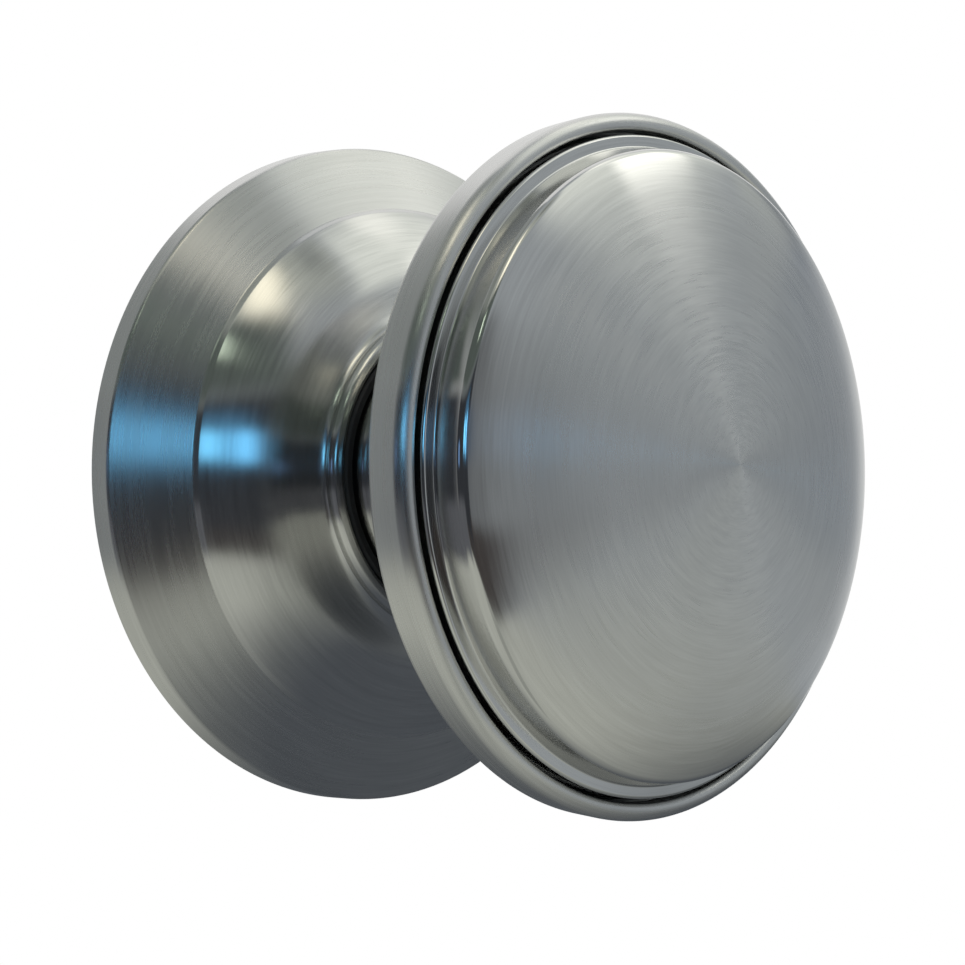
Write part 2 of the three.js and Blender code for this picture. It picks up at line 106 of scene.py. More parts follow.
def bend(start, leaving, arriving, end, steps=28):
    """A cubic curve that leaves start towards one point and comes to end from another."""
    handles = (start, leaving, arriving, end)
    points = []
    for i in range(steps + 1):
        t = i / steps
        weights = ((1 - t) ** 3, 3 * (1 - t) ** 2 * t, 3 * (1 - t) * t * t, t ** 3)
        points.append(tuple(sum(w * p[k] for w, p in zip(weights, handles)) for k in (0, 1)))
    return points


def eased(corners, steps=5, closed=True):
    """Rounds each (r, out, radius) corner of an outline; (r, out) points stay as they are."""
    points = []
    count = len(corners)
    for i, corner in enumerate(corners):
        here = Vector(corner[:2])
        if len(corner) == 2 or (not closed and i in (0, count - 1)):
            points.append(tuple(here))
            continue
        before = Vector(corners[i - 1][:2]) - here
        after = Vector(corners[(i + 1) % count][:2]) - here
        half = before.angle(after) / 2
        reach = min(corner[2] / math.tan(half), 0.45 * before.length, 0.45 * after.length)
        start = here + before.normalized() * reach
        end = here + after.normalized() * reach
        radius = reach * math.tan(half)
        centre = here + (before.normalized() + after.normalized()).normalized() * (radius / math.sin(half))
        for k in range(steps + 1):
            spoke = (start - centre).lerp(end - centre, k / steps).normalized() * radius
            points.append(tuple(centre + spoke))
    return points


def rose_outline():
    """The cover from the door up its outside to the rolled bead at the neck, and back down its inside."""
    rise = math.tan(math.radians(ROSE_SLOPE))
    edge = arc(ROSE_RADIUS - 0.7, 2.15, 0.5, 0, 90 - ROSE_SLOPE)
    foot = edge[-1]
    crease_out = foot[1] + (foot[0] - ROSE_CREASE_RADIUS) * rise
    swell_foot = (ROSE_CREASE_RADIUS - 0.35, crease_out + 0.45)
    swell_aim = (24.3, 7.85)
    neck = BEAD_RADIUS - BEAD_WIRE
    outline = [(ROSE_RADIUS - 1.1, 0.0), (ROSE_RADIUS - 0.12, 0.0), (ROSE_RADIUS, 0.12)]
    outline += edge
    crease = [foot, (ROSE_CREASE_RADIUS, crease_out, 0.35), (*swell_foot, 0.5), swell_aim]
    outline += eased(crease, closed=False)[1:-1]
    outline += bend(swell_foot, swell_aim, (22.1, 9.1), SWELL_TOP)[1:]
    outline += bend(SWELL_TOP, (18.7, 10.52), (16.6, 10.55), (16.05, 11.3))[1:]
    outline += arc(BEAD_RADIUS, BEAD_OUT, BEAD_WIRE, -25, 180, 6)
    outline += [(neck, 10.95), (neck + 0.1, 10.85), (15.4, 10.6)]
    outline += bend((15.45, 9.7), (17, 9.45), (18.6, 9.5), (19.9, 8.9), 10)
    outline += bend((19.9, 8.9), (21.65, 8.15), (23.7, 6.95), (25.7, 5.3), 10)[1:]
    outline += [(26.2, 4.85), (ROSE_RADIUS - 1.3, 1.85), (ROSE_RADIUS - 1.1, 1.6)]
    return outline


def shell_outline():
    """The knob's skin from the shank's end over the collar, the head's back and the rim, and back inside."""
    collar = COLLAR_RADIUS - 0.5
    round_back = 0.9
    lip = CAP_RADIUS + GROOVE_WIDTH
    inner_band = HEAD_RADIUS - SHEET - 0.05
    inner_shank = SHANK_RADIUS - SHEET
    outline = [(SHANK_RADIUS, SHANK_END), (SHANK_RADIUS, 12.6), (SHANK_RADIUS + 0.12, 12.78)]
    outline += arc(collar, 13.35, 0.5, -90, 0, 9) + arc(collar, 13.75, 0.5, 0, 55, 9)
    outline += bend((13.5, 14.45), (13.6, 21.5), (20.2, 29.7), (HEAD_RADIUS - 0.5, HEAD_BACK - 0.8), 40)
    outline += arc(HEAD_RADIUS - round_back, HEAD_BACK, round_back, -55, 0)
    rising = arc(0.0, 0.0, 1.0, 0, 90, 6)
    for side, roll, quarter in ((HEAD_RADIUS, 1.0, rising), (lip, 0.55, rising[-2::-1])):
        width = side - LIP_CREST_RADIUS
        outline += [(LIP_CREST_RADIUS + width * r, LIP_TOP - roll + roll * out) for r, out in quarter]
    outline += [(lip, BAND_FRONT - 1.1), (inner_band, BAND_FRONT - 1.4)]
    outline += bend((inner_band, 35.4), (19.6, 30.9), (12.5, 22.4), (12.35, 15.2), 20)
    outline += [(inner_shank, 14.6), (inner_shank, SHANK_END)]
    return outline


def cap_outline():
    """The face from the middle of its dome out over the shoulder to the flat land, and back inside."""
    centre = DOME_TOP - DOME_RADIUS
    lean = math.degrees(math.asin(DOME_EDGE / DOME_RADIUS))
    inner_lean = 19.5
    turn = 0.8
    spoke = math.radians(90 - lean)
    shoulder = ((DOME_RADIUS - turn) * math.cos(spoke), centre + (DOME_RADIUS - turn) * math.sin(spoke))
    wall = 1.2
    corner = 0.28
    outline = arc(0, centre, DOME_RADIUS, 90, 90 - lean, 0.55)
    outline[0] = (0.0, DOME_TOP)
    outline += arc(*shoulder, turn, 90 - lean, 0, 7)[1:]
    land_end = (CAP_RADIUS - corner, CAP_LAND[1])
    outline += eased([outline[-1], (*CAP_LAND, 0.16), land_end], closed=False)[1:-1]
    outline += arc(CAP_RADIUS - corner, CAP_LAND[1] - corner, corner, 90, 0, 10)
    inside = CAP_RADIUS - SHEET
    outline += [(CAP_RADIUS, CAP_BACK), (inside, CAP_BACK), (inside, 37.8), (25.7, 38.75)]
    outline += arc(0, centre, DOME_RADIUS - wall, 90 - inner_lean, 90, 1.6)
    outline[-1] = (0.0, DOME_TOP - wall)
    return outline


# ---- Mesh making -------------------------------------------------------------------


def smooth_shading(mesh):
    mesh.polygons.foreach_set("use_smooth", [True] * len(mesh.polygons))
    mesh.set_sharp_from_angle(angle=math.radians(SHARP_ANGLE))


def new_object(name, verts, faces):
    mesh = bpy.data.meshes.new(name)
    mesh.from_pydata(verts, [], faces)
    mesh.validate()
    smooth_shading(mesh)
    obj = bpy.data.objects.new(name, mesh)
    bpy.context.scene.collection.objects.link(obj)
    return obj


def lathe(name, outline, around=AROUND, centre=(0.0, 0.0), radius_at=None):
    """A closed body turned from an outline in millimetres, about the knob's axis or a parallel one through
    centre, (x, z). An outline that starts and ends on the axis is capped there, and any other outline is
    closed on itself. radius_at may change the radius from point to point."""
    solid = outline[0][0] == 0.0
    tube = outline[1:-1] if solid else outline
    verts = []
    for r, out in tube:
        for k in range(around):
            angle = 2 * math.pi * k / around
            here = radius_at(r, out, angle) if radius_at else r
            x = centre[0] + here * math.cos(angle)
            z = centre[1] + here * math.sin(angle)
            verts.append((x * MM, -out * MM, z * MM))
    rows = len(tube)
    faces = []
    for j in range(rows - 1 if solid else rows):
        for k in range(around):
            a = j * around + k
            b = j * around + (k + 1) % around
            c = ((j + 1) % rows) * around + (k + 1) % around
            d = ((j + 1) % rows) * around + k
            faces.append((a, b, c, d))
    if solid:
        first, last = len(verts), len(verts) + 1
        verts += [(centre[0] * MM, -end[1] * MM, centre[1] * MM) for end in (outline[0], outline[-1])]
        for k in range(around):
            faces.append((first, (k + 1) % around, k))
            faces.append((last, (rows - 1) * around + k, (rows - 1) * around + (k + 1) % around))
    area = sum(p[0] * q[1] - q[0] * p[1] for p, q in zip(outline, outline[1:] + outline[:1]))
    if area > 0:
        faces = [tuple(reversed(f)) for f in faces]
    return new_object(name, verts, faces)


def swept(name, section, start, end, steps, lift=None):
    """A section of (r, out) points carried round the axis from one angle to another, in degrees, and moved
    out by lift at each angle."""
    closed = end - start == 360
    stations = steps if closed else steps + 1
    count = len(section)
    verts = []
    for i in range(stations):
        angle = math.radians(start + (end - start) * i / steps)
        rise = lift(angle) if lift else 0.0
        cosine, sine = math.cos(angle), math.sin(angle)
        verts += [(r * MM * cosine, -(out + rise) * MM, r * MM * sine) for r, out in section]
    faces = []
    for i in range(steps):
        here, there = i * count, (i + 1) % stations * count
        for k in range(count):
            following = (k + 1) % count
            faces.append((here + k, here + following, there + following, there + k))
    if not closed:
        faces += [tuple(reversed(range(count))), tuple(range(steps * count, (steps + 1) * count))]
    return new_object(name, verts, faces)


def block(name, low, high):
    """A box between two corners given in millimetres as (x, out, z)."""
    (x0, o0, z0), (x1, o1, z1) = low, high
    verts = [(x * MM, -out * MM, z * MM) for x in (x0, x1) for out in (o1, o0) for z in (z0, z1)]
    faces = [(0, 1, 3, 2), (4, 6, 7, 5), (0, 4, 5, 1), (2, 3, 7, 6), (0, 2, 6, 4), (1, 5, 7, 3)]
    return new_object(name, verts, faces)


def rod(name, radius, start, end, centre=(0.0, 0.0), around=48):
    return lathe(name, [(0.0, start), (radius, start), (radius, end), (0.0, end)], around, centre)


def combine(target, others, operation="DIFFERENCE"):
    """Cuts the other solids from the target, or joins them to it, and removes them."""
    for other in others:
        modifier = target.modifiers.new("combine", "BOOLEAN")
        modifier.operation = operation
        modifier.solver = "EXACT"
        modifier.object = other
        mesh = bpy.data.meshes.new_from_object(target.evaluated_get(bpy.context.evaluated_depsgraph_get()))
        target.modifiers.clear()
        target.data = mesh
        bpy.data.objects.remove(other)
    smooth_shading(target.data)
    return target


def polar(radius, degrees):
    return radius * math.cos(math.radians(degrees)), radius * math.sin(math.radians(degrees))


# ---- Pieces ------------------------------------------------------------------------


def knob_shell():
    """The skin with the grub screw's hole under the shank."""
    shell = lathe("knob_shell_fine", shell_outline())
    hole = rod("hole", GRUB_HOLE_RADIUS, 0.0, 15.0, around=64)
    pointing_down = Matrix.Rotation(math.radians(90), 4, "X")
    hole.data.transform(Matrix.Translation((0.0, -GRUB_OUT * MM, 0.0)) @ pointing_down)
    hole.data.update()
    return combine(shell, [hole])


def neck_bush():
    bore, outside, flange = SHANK_RADIUS + 0.3, 14.2, 14.95
    back, flange_front, front = 9.8, 10.25, 11.8
    return lathe("neck_bush_fine", eased([
        (bore, back, 0.1), (flange, back, 0.1), (flange, flange_front, 0.05), (outside, flange_front),
        (outside, front - 0.2, 0.1), (outside - 0.3, front, 0.1), (bore, front, 0.12)]))


def fixing_plate():
    """The plate with its two hollow lugs, and the rivets' holes."""
    keys = ("thick", "step", "step_radius", "radius", "hole", "recess", "recess_radius")
    thick, step, step_radius, rim, hole, recess, recess_radius = (PLATE[key] for key in keys)
    section = eased([
        (hole, recess, 0.08), (recess_radius, recess, 0.05), (recess_radius, 0.0, 0.1), (rim, 0.0, 0.18),
        (rim, step, 0.12), (step_radius, step, 0.1), (step_radius, thick, 0.2), (hole, thick, 0.1)], steps=3)
    plate = lathe("fixing_plate_fine", section, 192)
    lugs, holes = [], []
    for side in (-1, 1):
        centre = (0.0, side * BOLT["off"])
        end = LUG["end"]
        lugs.append(lathe("lug", [(0.0, end), (LUG["radius"] - 0.35, end), (LUG["radius"] - 0.08, end + 0.15),
                                  (LUG["radius"], end + 0.5), (LUG["radius"], 1.2), (0.0, 1.2)], 64, centre))
        holes.append(rod("hole", BOLT["hole"], end - 1, thick + 1, centre))
    for angle in RIVET["angles"]:
        holes.append(rod("hole", RIVET["hole"], -1.0, thick + 1, polar(RIVET["circle"], angle), 32))
    return combine(combine(plate, lugs, "UNION"), holes)


def through_bolt(side):
    """A pan-head machine screw with a rolled thread and a cross recess."""
    pitch, seat, head, end = BOLT["pitch"], BOLT["seat"], BOLT["head"], BOLT["end"]
    radius, top, off = BOLT["radius"], seat + BOLT["head_height"], side * BOLT["off"]
    rows_per_turn = 8
    rows = round((seat - end) / (pitch / rows_per_turn))
    shaft = [(radius, end + (seat - end) * i / rows) for i in range(rows + 1)]
    cap = eased([(radius, seat), (head, seat, 0.15), (head, seat + 1.2, 0.7), (head - 1.1, top - 0.15, 0.9),
                 (1.2, top)], closed=False)

    def thread(r, out, angle):
        """Crests and roots that climb one pitch a turn, and a chamfered point at the bolt's end."""
        if out > seat - 0.05 or r != radius:
            return r
        phase = (out / pitch - angle / (2 * math.pi)) % 1.0
        crest = min(1.0, max(0.0, abs(2 * phase - 1) * 1.25 - 0.1))
        point = radius - 0.6 + max(0.0, out - end) * 0.75
        return min(radius - (radius - BOLT["root"]) * (1 - crest), point)

    name = "through_bolt_" + ("upper" if side > 0 else "lower") + "_fine"
    bolt = lathe(name, [(0.0, end)] + shaft + cap[1:] + [(0.0, top)], 32, (0.0, off), thread)
    length, width = CROSS_RECESS["half_length"], CROSS_RECESS["half_width"]
    floor = seat + CROSS_RECESS["floor"]
    return combine(bolt, [block("slot", (-x, floor, off - z), (x, top + 1.6, off + z))
                          for x, z in ((length, width), (width, length))])


def drive_hub():
    """The hub with the circlip's groove, its collar, the square hole and the two flats."""
    r, tail, top, collar, flat = (HUB[key] for key in ("radius", "tail", "top", "collar", "flat"))
    collar_back, collar_front = HUB["collar_from"], HUB["collar_to"]
    spare = 0.3
    groove, groove_back, groove_front = CLIP["inner"] - spare, CLIP["back"] - spare, CLIP["front"] + spare
    tail_end = [(0.0, tail), (r - 0.4, tail), (r - 0.12, tail + 0.16), (r, tail + 0.45)]
    body = eased([
        (r, tail + 0.5), (r, groove_back, 0.05), (groove, groove_back), (groove, groove_front),
        (r, groove_front, 0.05), (r, collar_back), (collar, collar_back, 0.15), (collar, collar_front, 0.15),
        (r, collar_front), (r, top, 0.3), (3.0, top)], closed=False, steps=3)
    hub = lathe("drive_hub_fine", tail_end + body + [(0.0, top)], 96)
    half, wide, past = HUB["bore"] / 2, 4 * r, top + 1
    return combine(hub, [block("bore", (-half, tail - 1, -half), (half, past, half)),
                         block("flat", (-wide, collar_front, flat), (wide, past, flat + 4)),
                         block("flat", (-wide, collar_front, -flat - 4), (wide, past, -flat))])


def flat_ring(inner, outer, back, front):
    """A washer's section, with its corners eased."""
    soft = 0.08
    corners = ((inner, back), (outer, back), (outer, front), (inner, front))
    return eased([(r, out, soft) for r, out in corners], steps=3)


def wave_washer():
    """A thin ring with three waves round it."""
    height, waves = 0.2, 3
    return swept("wave_washer_fine", flat_ring(*WASHERS["wave"]), 0, 360, 144,
                 lambda angle: height * math.cos(waves * angle))


def hub_circlip():
    section = flat_ring(CLIP["inner"], CLIP["outer"], CLIP["back"], CLIP["front"])
    return swept("hub_circlip_fine", section, 90 + CLIP["open"], 450 - CLIP["open"], 96)


# ---- Materials ---------------------------------------------------------------------


# Marks left by turning and brushing: lines per metre, and how often they break round the axis.
HAIRLINES = (6500.0, 5.0)
STREAKS = (2600.0, 3.4)
BANDS = (900.0, 2.0)
SMEARS = (120.0, 1.6)
BUMP_DEPTH = 0.00003  # metres
MIXED_NOISE = (0.38, 0.62)  # the range that two noises added together cover
STEEL = (0.62, 0.62, 0.605)
WHITE = (1.0, 1.0, 1.0, 1.0)


def new_material(name):
    mat = bpy.data.materials.new(name)
    mat.use_nodes = True
    tree = mat.node_tree
    tree.nodes.clear()
    output = tree.nodes.new("ShaderNodeOutputMaterial")
    shader = tree.nodes.new("ShaderNodeBsdfPrincipled")
    tree.links.new(shader.outputs[0], output.inputs[0])
    return mat, tree, shader


def math_node(tree, operation, *inputs):
    node = tree.nodes.new("ShaderNodeMath")
    node.operation = operation
    for socket, value in zip(node.inputs, inputs):
        if isinstance(value, (int, float)):
            socket.default_value = value
        else:
            tree.links.new(value, socket)
    return node.outputs[0]


def map_range(tree, value, from_low, from_high, to_low, to_high, interpolation="LINEAR"):
    node = tree.nodes.new("ShaderNodeMapRange")
    node.interpolation_type = interpolation
    tree.links.new(value, node.inputs["Value"])
    numbers = {"From Min": from_low, "From Max": from_high, "To Min": to_low, "To Max": to_high}
    for key, number in numbers.items():
        node.inputs[key].default_value = number
    return node.outputs["Result"]


def ramp_between(tree, value, start, end, low, high):
    """Goes smoothly from low to high as the value goes from start to end."""
    return map_range(tree, value, start, end, low, high, "SMOOTHSTEP")


def mix_colours(tree, factor, first, second, blend="MIX"):
    """Mixes two colours by a factor; each of the three is a socket or a fixed value."""
    node = tree.nodes.new("ShaderNodeMix")
    node.data_type = "RGBA"
    node.blend_type = blend
    for key, value in (("Factor", factor), ("A", first), ("B", second)):
        if isinstance(value, bpy.types.NodeSocket):
            tree.links.new(value, node.inputs[key])
        else:
            node.inputs[key].default_value = value
    return node.outputs["Result"]


def weighted_sum(tree, first, first_share, second, second_share):
    return math_node(tree, "ADD", math_node(tree, "MULTIPLY", first, first_share),
                     math_node(tree, "MULTIPLY", second, second_share))


def turning_coordinates(tree):
    """Radius, distance along the axis, and the cosine and sine of the angle round it."""
    coordinates = tree.nodes.new("ShaderNodeTexCoord")
    split = tree.nodes.new("ShaderNodeSeparateXYZ")
    tree.links.new(coordinates.outputs["Object"], split.inputs[0])
    x, y, z = split.outputs
    square = math_node(tree, "ADD", math_node(tree, "MULTIPLY", x, x), math_node(tree, "MULTIPLY", z, z))
    radius = math_node(tree, "MAXIMUM", math_node(tree, "SQRT", square), 1e-5)
    return radius, y, math_node(tree, "DIVIDE", x, radius), math_node(tree, "DIVIDE", z, radius)


def ring_noise(tree, turning, fineness, arcs, detail=2.0):
    """Noise drawn out into arcs round the axis: fineness is lines per metre, arcs how often they break."""
    radius, along, cosine, sine = turning
    join = tree.nodes.new("ShaderNodeCombineXYZ")
    tree.links.new(math_node(tree, "MULTIPLY", radius, fineness), join.inputs[0])
    tree.links.new(math_node(tree, "MULTIPLY", cosine, arcs), join.inputs[1])
    tree.links.new(math_node(tree, "MULTIPLY", sine, arcs), join.inputs[2])
    noise = tree.nodes.new("ShaderNodeTexNoise")
    noise.noise_dimensions = "4D"
    noise.inputs["Scale"].default_value = 1.0
    noise.inputs["Detail"].default_value = detail
    tree.links.new(join.outputs[0], noise.inputs["Vector"])
    tree.links.new(math_node(tree, "MULTIPLY", along, fineness), noise.inputs["W"])
    return noise.outputs["Fac"]


def two_tone(tree, shader, factor, dark, light):
    tint = mix_colours(tree, factor, (*dark, 1.0), (*light, 1.0))
    tree.links.new(tint, shader.inputs["Base Color"])
    return tint


def add_bump(tree, shader, height, strength):
    ridge = tree.nodes.new("ShaderNodeBump")
    ridge.inputs["Strength"].default_value = strength
    ridge.inputs["Distance"].default_value = BUMP_DEPTH
    tree.links.new(height, ridge.inputs["Height"])
    tree.links.new(ridge.outputs[0], shader.inputs["Normal"])


def brushed_steel(name, satin, polished, change, anisotropy=0.85, colour=STEEL, painted_shade_factor=1.0):
    """Metal turned or brushed in circles round the knob's axis. The roughness goes from polished to satin
    where the measure named in change, "radius" or "out", grows from the first number of millimetres to the
    second. The polished side has shallower marks, and a factor below 1 darkens its colour as painted shade."""
    mat, tree, shader = new_material(name)
    turning = turning_coordinates(tree)
    measures = {"radius": turning[0], "out": math_node(tree, "MULTIPLY", turning[1], -1.0)}
    fine = ring_noise(tree, turning, *HAIRLINES)
    streaks = ring_noise(tree, turning, *STREAKS)
    broad = ring_noise(tree, turning, *BANDS)
    smear = ring_noise(tree, turning, *SMEARS, detail=1.0)
    lines = weighted_sum(tree, fine, 0.5, streaks, 0.5)
    spread = map_range(tree, weighted_sum(tree, lines, 0.85, broad, 0.15), *MIXED_NOISE, 0.0, 1.0)
    measure, start, end = change
    share = ramp_between(tree, measures[measure], start * MM, end * MM, 0.0, 1.0)
    tint = two_tone(tree, shader, spread, [c * 0.93 for c in colour], [c * 1.07 for c in colour])
    # painted shade: the polished side's colour is multiplied down to the given factor
    if painted_shade_factor != 1.0:
        painted_shade_colour = mix_colours(tree, 1.0, tint, ramp_between(tree, share, 0.0, 1.0, painted_shade_factor, 1.0), "MULTIPLY")
        tree.links.new(painted_shade_colour, shader.inputs["Base Color"])
    base = ramp_between(tree, share, 0.0, 1.0, polished, satin)
    streak = map_range(tree, spread, 0.0, 1.0, 0.91, 1.1)
    handled = map_range(tree, smear, 0.35, 0.65, 0.92, 1.08)
    roughness = math_node(tree, "MULTIPLY", math_node(tree, "MULTIPLY", base, streak), handled)
    tree.links.new(roughness, shader.inputs["Roughness"])
    shader.inputs["Metallic"].default_value = 1.0
    shader.inputs["Anisotropic"].default_value = anisotropy
    shader.inputs["Anisotropic Rotation"].default_value = 0.25
    tangent = tree.nodes.new("ShaderNodeTangent")
    tangent.direction_type = "RADIAL"
    tangent.axis = "Y"
    tree.links.new(tangent.outputs[0], shader.inputs["Tangent"])
    height = math_node(tree, "MULTIPLY", streaks, ramp_between(tree, share, 0.0, 1.0, 0.25, 1.0))
    add_bump(tree, shader, height, 0.1)
    return mat


def glowing(name, colour):
    """A plain emission, for the floor and the shade."""
    mat = bpy.data.materials.new(name)
    mat.use_nodes = True
    tree = mat.node_tree
    tree.nodes.clear()
    output = tree.nodes.new("ShaderNodeOutputMaterial")
    glow = tree.nodes.new("ShaderNodeEmission")
    glow.inputs["Color"].default_value = (*colour, 1.0)
    tree.links.new(glow.outputs[0], output.inputs[0])
    return mat


def plain_finish(name, dark, light, roughness, metallic, grain, patch, bump, stretch=(1.0, 1.0, 1.0)):
    """A plated, drawn or moulded finish between two colours. grain and patch are the sizes in metres of its
    fine and broad variation, and stretch draws the fine part out along an axis."""
    mat, tree, shader = new_material(name)
    coordinates = tree.nodes.new("ShaderNodeTexCoord")
    drawn = tree.nodes.new("ShaderNodeMapping")
    drawn.inputs["Scale"].default_value = [1.0 / amount for amount in stretch]
    tree.links.new(coordinates.outputs["Object"], drawn.inputs["Vector"])
    noises = []
    for size, vector in ((grain, drawn.outputs[0]), (patch, coordinates.outputs["Object"])):
        noise = tree.nodes.new("ShaderNodeTexNoise")
        noise.inputs["Scale"].default_value = 1.0 / size
        noise.inputs["Detail"].default_value = 3.0
        tree.links.new(vector, noise.inputs["Vector"])
        noises.append(noise.outputs["Fac"])
    fine, broad = noises
    tone = weighted_sum(tree, fine, 0.4, broad, 0.6)
    two_tone(tree, shader, map_range(tree, tone, *MIXED_NOISE, 0.0, 1.0), dark, light)
    uneven = map_range(tree, fine, 0.3, 0.7, roughness * 0.75, roughness * 1.25)
    tree.links.new(uneven, shader.inputs["Roughness"])
    shader.inputs["Metallic"].default_value = metallic
    add_bump(tree, shader, fine, bump)
    return mat


# ---- Surroundings ------------------------------------------------------------------

# Degrees, millimetres of lens, and how far in millimetres the origin lies from the middle of the picture.
VIEW = {"azimuth": -43.3, "elevation": -0.95, "lens": 54.1, "right": -10.4, "up": 0.9, "away": 151.8}


def make_camera():
    azimuth = math.radians(VIEW["azimuth"])
    elevation = math.radians(VIEW["elevation"])
    right = Vector((math.cos(azimuth), math.sin(azimuth), 0.0))
    level = math.cos(elevation)
    back = Vector((math.sin(azimuth) * level, -math.cos(azimuth) * level, math.sin(elevation)))
    up = back.cross(right)
    data = bpy.data.cameras.new("camera")
    data.lens = VIEW["lens"]
    data.sensor_width = 36.0
    data.clip_start = 0.005
    camera = bpy.data.objects.new("camera", data)
    place = (back * VIEW["away"] - right * VIEW["right"] - up * VIEW["up"]) * MM
    turn = Matrix((right, up, back)).transposed().to_4x4()
    camera.matrix_world = Matrix.Translation(place) @ turn
    bpy.context.scene.collection.objects.link(camera)
    bpy.context.scene.camera = camera


# Soft panels of light and shade all round the object, in front of the room's own grey, each painted over the
# ones before. Azimuth 0 is straight out from the door and + is to the right. Azimuth from and to, elevation
# from and to, softness of the edges, colour, strength.
ROOM = (0.40, 0.43, 0.455)
GROUND = (0.535, 0.55, 0.50)
PANELS = [
    (96, 250, -90, 90, 10, (1.0, 1.0, 1.0), 1.0),  # white sweep to the right and behind
    (-180, -125, -90, 90, 6, (0.33, 0.35, 0.35), 1.0),  # grey room behind on the left
    (-125, -62, 40, 90, 6, (0.27, 0.29, 0.27), 1.0),  # its ceiling
    (-125, -1, -30, 22, 4, (0.040, 0.043, 0.050), 1.0),  # dark room in front on the left
    (-1, 9, -30, 24, 3, (0.18, 0.19, 0.20), 1.0),  # its doorway
    (-125, -8, 22, 47, 4, (0.105, 0.125, 0.115), 1.0),  # wall above the dark room
    (73, 86, -6, 20, 1.6, (0.21, 0.25, 0.31), 1.0),  # dark frame on the right
    (74, 82, 21, 30, 1.5, (0.54, 0.57, 0.55), 1.0),  # pale patch above it
    (84.2, 86.2, -12, 30, 0.6, (0.06, 0.07, 0.09), 1.0),  # the frame's darkest edge
    (22, 92, 34, 70, 6, (0.97, 1.0, 0.94), 1.04),  # large soft light, high on the right
    (-62, 18, 46, 72, 5, (0.80, 0.84, 0.76), 0.62),  # dimmer light, high on the left
    (52, 78, 56, 70, 4, (1.0, 1.0, 0.94), 1.45),  # upper bright part of the large light
    (46, 67, 35, 46, 2.5, (1.0, 1.0, 0.94), 1.9),  # lower bright part
    (-34, -14, 46, 64, 4, (1.0, 0.94, 0.76), 1.9),  # warm lamp in the dimmer light
    (0, 14, 56, 68, 3.5, (0.26, 0.28, 0.27), 1.0),  # grey gap between the two lights
    (-47, -39, 34, 41, 1.6, (0.85, 1.0, 0.80), 1.9),  # small greenish lamp
    (-180, 180, -90, -19, 2.0, GROUND, 1.0),  # pale ground all round
    (-130, -50, -27, -10, 3.0, (0.13, 0.135, 0.15), 1.0),  # dim foot of the dark room
    (-50, 9, -22.5, -15, 1.6, (0.060, 0.055, 0.055), 1.0),  # shadow where it meets the ground
    (-12, 12, -20, -8, 1.8, (0.060, 0.052, 0.050), 1.0),  # dark thing in the doorway
    (-20, 8, -60, -22, 4, (0.37, 0.385, 0.35), 1.0),  # shaded ground below the doorway
    (-100, -89.5, 0, 7, 1.2, (0.25, 0.47, 0.88), 1.0),  # small side window
    (-50, -24, 2, 17, 2.5, (0.08, 0.19, 0.32), 1.0),  # blue glow round the window
    (-22, 0, 2, 10, 2.5, (0.08, 0.12, 0.19), 1.0),  # its fainter end
    (8, 24, 1.5, 8.5, 2.0, (0.42, 0.47, 0.53), 1.0),  # bluish patch beside the doorway
    (-48, -38.5, 4, 12, 2.2, (0.18, 0.62, 1.0), 3.0),  # left pane of the window
    (-36.5, -32, 4, 12, 1.6, (0.08, 0.27, 0.52), 1.0),  # bar between its panes
    (-30, -22, 3, 11.5, 2.2, (0.17, 0.58, 1.0), 2.9),  # right pane
]


def make_world():
    """The panels, which reflections and light see, behind a white backdrop for the camera."""
    world = bpy.data.worlds.new("studio")
    bpy.context.scene.world = world
    world.use_nodes = True
    tree = world.node_tree
    tree.nodes.clear()
    coordinates = tree.nodes.new("ShaderNodeTexCoord")
    split = tree.nodes.new("ShaderNodeSeparateXYZ")
    tree.links.new(coordinates.outputs["Generated"], split.inputs[0])
    x, y, z = split.outputs
    towards_user = math_node(tree, "MULTIPLY", y, -1.0)
    azimuth = math_node(tree, "MULTIPLY", math_node(tree, "ARCTAN2", x, towards_user), 180 / math.pi)
    elevation = math_node(tree, "MULTIPLY", math_node(tree, "ARCSINE", z), 180 / math.pi)

    def above(value, edge, softness):
        return ramp_between(tree, value, edge - softness, edge + softness, 0.0, 1.0)

    def below(value, edge, softness):
        return math_node(tree, "SUBTRACT", 1.0, above(value, edge, softness))

    colour = (*ROOM, 1.0)
    for left, right, low, high, softness, tint, strength in PANELS:
        inside = math_node(tree, "MULTIPLY", above(elevation, low, softness),
                           below(elevation, high, softness))
        if right - left < 360:
            off_middle = math_node(tree, "SUBTRACT", azimuth, (right + left) / 2)
            off_middle = math_node(tree, "ABSOLUTE", math_node(tree, "WRAP", off_middle, 180.0, -180.0))
            inside = math_node(tree, "MULTIPLY", inside, below(off_middle, (right - left) / 2, softness))
        colour = mix_colours(tree, inside, colour, (*[c * strength for c in tint], 1.0))
    seen = tree.nodes.new("ShaderNodeLightPath")
    backdrop = mix_colours(tree, seen.outputs["Is Camera Ray"], colour, WHITE)
    background = tree.nodes.new("ShaderNodeBackground")
    tree.links.new(backdrop, background.inputs["Color"])
    output = tree.nodes.new("ShaderNodeOutputWorld")
    tree.links.new(background.outputs[0], output.inputs[0])


# The shade under the object: an ellipse in millimetres, dark within "from" of its reach and gone at "to".
SHADE = {
    "colour": (0.09, 0.10, 0.115), "middle": (18.0, -12.0), "reach": (50.0, 42.0), "from": 0.62, "to": 1.28,
}


def flat_sheet(name, reach, height, material):
    corners = [(x * reach, y * reach, height) for x, y in ((-1, -1), (1, -1), (1, 1), (-1, 1))]
    sheet = new_object(name, corners, [(0, 1, 2, 3)])
    sheet.data.materials.append(material)
    sheet.visible_shadow = False
    sheet.visible_diffuse = False
    return sheet


